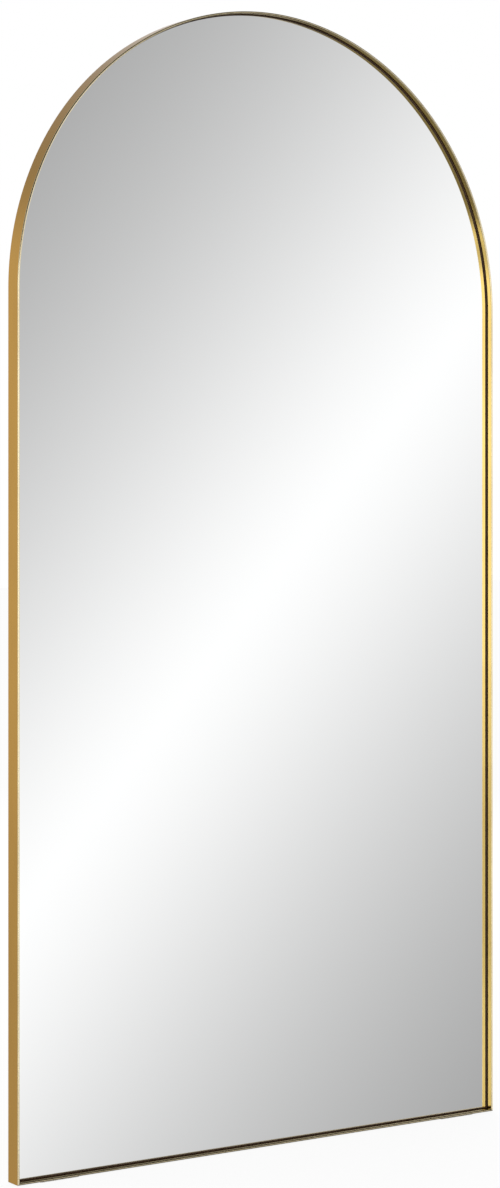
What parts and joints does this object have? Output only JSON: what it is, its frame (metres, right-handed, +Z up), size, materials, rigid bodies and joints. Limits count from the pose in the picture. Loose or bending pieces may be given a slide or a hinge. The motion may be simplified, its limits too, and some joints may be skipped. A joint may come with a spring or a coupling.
{
  "type": "leaning floor mirror",
  "caption": "Full-length arched floor mirror in a deep, thin-edged gold metal frame, with a screwed back board, wall bumpers, floor pads and swinging D-ring hangers.",
  "frame": {"origin": "on the floor, midway across the width and the depth of the object", "axes": "+Z up, +Y towards the back, so the mirror faces -Y, and +X to the right seen from the front"},
  "size_m": [0.914, 0.0332, 1.803],
  "materials": {
    "gold_frame": "fine brushed gold",
    "mirror_glass": "silvered float glass",
    "black_gasket": "matt",
    "foam_tape": "matt foam",
    "back_board": "black faced fibre board",
    "zinc_steel": "zinc plated",
    "black_rubber": "matt",
    "pale_silicone": "satin"
  },
  "bodies": {
    "mirror": {"arch_frame": "gold_frame", "bottom_rail": "gold_frame", "mirror_glass": "mirror_glass", "edge_gasket": "black_gasket", "back_board": "back_board", "mounting_tape_1": "foam_tape", "mounting_tape_2": "foam_tape", "mounting_tape_3": "foam_tape", "mounting_tape_4": "foam_tape", "corner_key_left": "zinc_steel", "corner_brace_left": "zinc_steel", "hanger_strap_left": "zinc_steel", "wall_bumper_lower_left": "black_rubber", "wall_bumper_upper_left": "black_rubber", "floor_pad_left": "pale_silicone", "corner_key_right": "zinc_steel", "corner_brace_right": "zinc_steel", "hanger_strap_right": "zinc_steel", "wall_bumper_lower_right": "black_rubber", "wall_bumper_upper_right": "black_rubber", "floor_pad_right": "pale_silicone", "board_screw_1": "zinc_steel", "board_screw_2": "zinc_steel", "board_screw_3": "zinc_steel", "board_screw_4": "zinc_steel", "board_screw_5": "zinc_steel", "board_screw_6": "zinc_steel", "board_screw_7": "zinc_steel", "board_screw_8": "zinc_steel", "board_screw_9": "zinc_steel", "board_screw_10": "zinc_steel", "board_screw_11": "zinc_steel", "board_screw_12": "zinc_steel", "board_screw_13": "zinc_steel", "board_screw_14": "zinc_steel", "board_screw_15": "zinc_steel", "board_screw_16": "zinc_steel", "board_screw_17": "zinc_steel", "brace_screw_1": "zinc_steel", "brace_screw_2": "zinc_steel", "brace_screw_3": "zinc_steel", "brace_screw_4": "zinc_steel", "brace_screw_5": "zinc_steel", "brace_screw_6": "zinc_steel", "brace_screw_7": "zinc_steel", "brace_screw_8": "zinc_steel", "hanger_screw_1": "zinc_steel", "hanger_screw_2": "zinc_steel", "hanger_screw_3": "zinc_steel", "hanger_screw_4": "zinc_steel"},
    "left_ring": {"hanger_ring_left": "zinc_steel"},
    "right_ring": {"hanger_ring_right": "zinc_steel"}
  },
  "joints": [
    {"name": "left_ring_swing", "type": "hinge", "parent": "mirror", "child": "left_ring", "pos_m": [-0.44425, 0.0126, 1.286], "axis": [1, 0, 0], "range_deg": [0, 181]},
    {"name": "right_ring_swing", "type": "hinge", "parent": "mirror", "child": "right_ring", "pos_m": [0.44425, 0.0126, 1.286], "axis": [1, 0, 0], "range_deg": [0, 181]}
  ]
}
